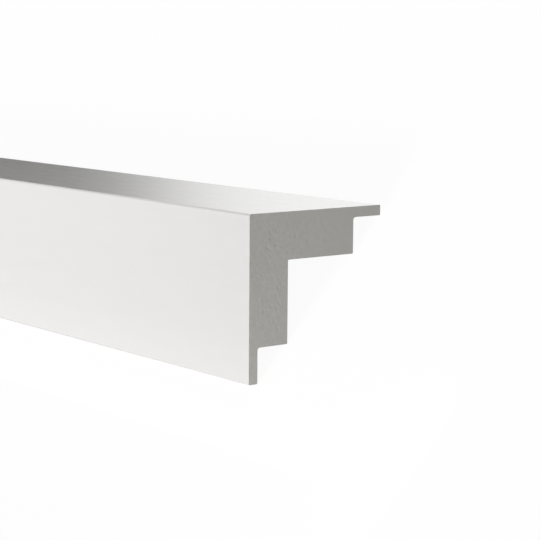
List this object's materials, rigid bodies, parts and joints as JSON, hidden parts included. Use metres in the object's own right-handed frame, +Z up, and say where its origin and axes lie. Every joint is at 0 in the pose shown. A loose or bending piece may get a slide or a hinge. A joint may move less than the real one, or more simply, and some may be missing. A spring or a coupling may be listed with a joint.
{
  "type": "rabbeted corner board",
  "caption": "Long right-angled length of white cellular PVC trim that caps an outside wall corner, with a rabbet behind each free edge that receives the siding.",
  "frame": {"origin": "middle of the footprint, on the floor that the board lies on", "axes": "+X along the length; +Z up, through the outer corner; +Y towards the back leg, so the two legs slope down to -Y and +Y at 45 degrees"},
  "size_m": [3.048, 0.125, 0.0666],
  "materials": {
    "white_pvc": "satin"
  },
  "bodies": {
    "root": {"corner_board": "white_pvc"}
  },
  "joints": []
}
